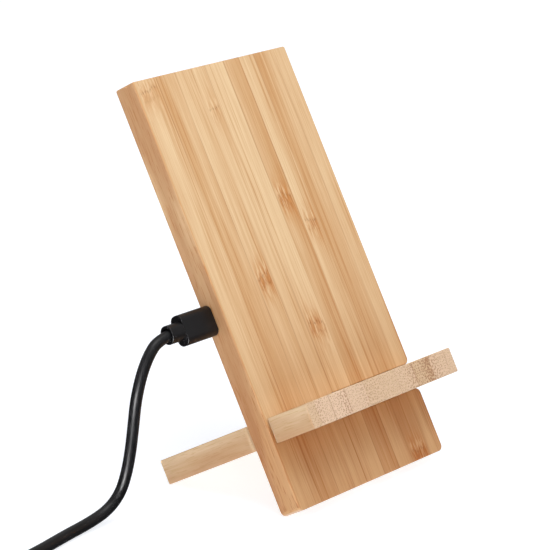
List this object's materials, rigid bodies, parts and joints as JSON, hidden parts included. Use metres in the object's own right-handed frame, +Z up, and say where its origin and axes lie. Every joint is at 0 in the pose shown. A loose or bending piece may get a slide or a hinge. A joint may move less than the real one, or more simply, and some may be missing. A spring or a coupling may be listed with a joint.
{
  "type": "wireless charging phone stand",
  "caption": "Leaning bamboo charging board crossed by a bamboo shelf in a half-lap joint, with a detachable USB charging cable.",
  "frame": {"origin": "on the floor under the centre of the two boards' bounding box", "axes": "+Z up, -Y towards the user (the charging face looks that way and upwards), +X to the user's right"},
  "size_m": [0.2668, 0.1101, 0.1415],
  "materials": {
    "bamboo_panel": "oiled edge-glued bamboo",
    "bamboo_shelf": "oiled bamboo, end grain in front",
    "cover_plastic": "fine spark-eroded texture",
    "screw_steel": "black zinc",
    "coil_wire": "enamelled copper",
    "adhesive_film": "translucent film",
    "ferrite": "sintered, matt",
    "foam": "open cell",
    "lead_sleeve": "satin",
    "circuit_laminate": "solder mask",
    "chip_epoxy": "moulded epoxy",
    "capacitor_ceramic": "ceramic",
    "resistor_body": "coated",
    "inductor_body": "pressed powder",
    "led_lens": "clear",
    "socket_steel": "tinned",
    "insert_plastic": "glass-filled",
    "contact_gold": "gold flash",
    "plug_moulding": "satin moulded PVC",
    "plug_steel": "nickel",
    "cord_sheath": "satin PVC sheath",
    "tie_band": "matt",
    "usb_insert_white": "moulded"
  },
  "bodies": {
    "leaning_board": {"charging_panel": "bamboo_panel", "rear_cover": "cover_plastic", "cover_screws": "screw_steel", "transmit_coil": "coil_wire", "coil_adhesive": "adhesive_film", "ferrite_shield": "ferrite", "foam_pad": "foam", "coil_leads": "lead_sleeve", "circuit_board": "circuit_laminate", "board_tape": "adhesive_film", "controller_chip": "chip_epoxy", "power_transistors": "chip_epoxy", "resonant_capacitors": "capacitor_ceramic", "bypass_capacitors": "capacitor_ceramic", "chip_resistors": "resistor_body", "filter_inductor": "inductor_body", "status_led": "led_lens", "socket_shell": "socket_steel", "socket_tongue": "insert_plastic", "socket_contacts": "contact_gold"},
    "shelf": {"shelf_plate": "bamboo_shelf"},
    "cable": {"plug_boot": "plug_moulding", "plug_neck": "plug_moulding", "plug_shell": "plug_steel", "plug_insert": "insert_plastic", "plug_contacts": "contact_gold", "charging_cord": "cord_sheath", "cord_coil": "cord_sheath", "cord_tail": "cord_sheath", "cord_tie": "tie_band", "usb_a_neck": "plug_moulding", "usb_a_boot": "plug_moulding", "usb_a_shell": "plug_steel", "usb_a_insert": "usb_insert_white", "usb_a_contacts": "contact_gold"}
  },
  "joints": [
    {"name": "shelf_slide", "type": "slide", "parent": "leaning_board", "child": "shelf", "axis": [1, 0, 0], "range_m": [0, 0.0445]},
    {"name": "plug_pull", "type": "slide", "parent": "leaning_board", "child": "cable", "axis": [-1, 0, 0], "range_m": [0, 0.007]}
  ]
}
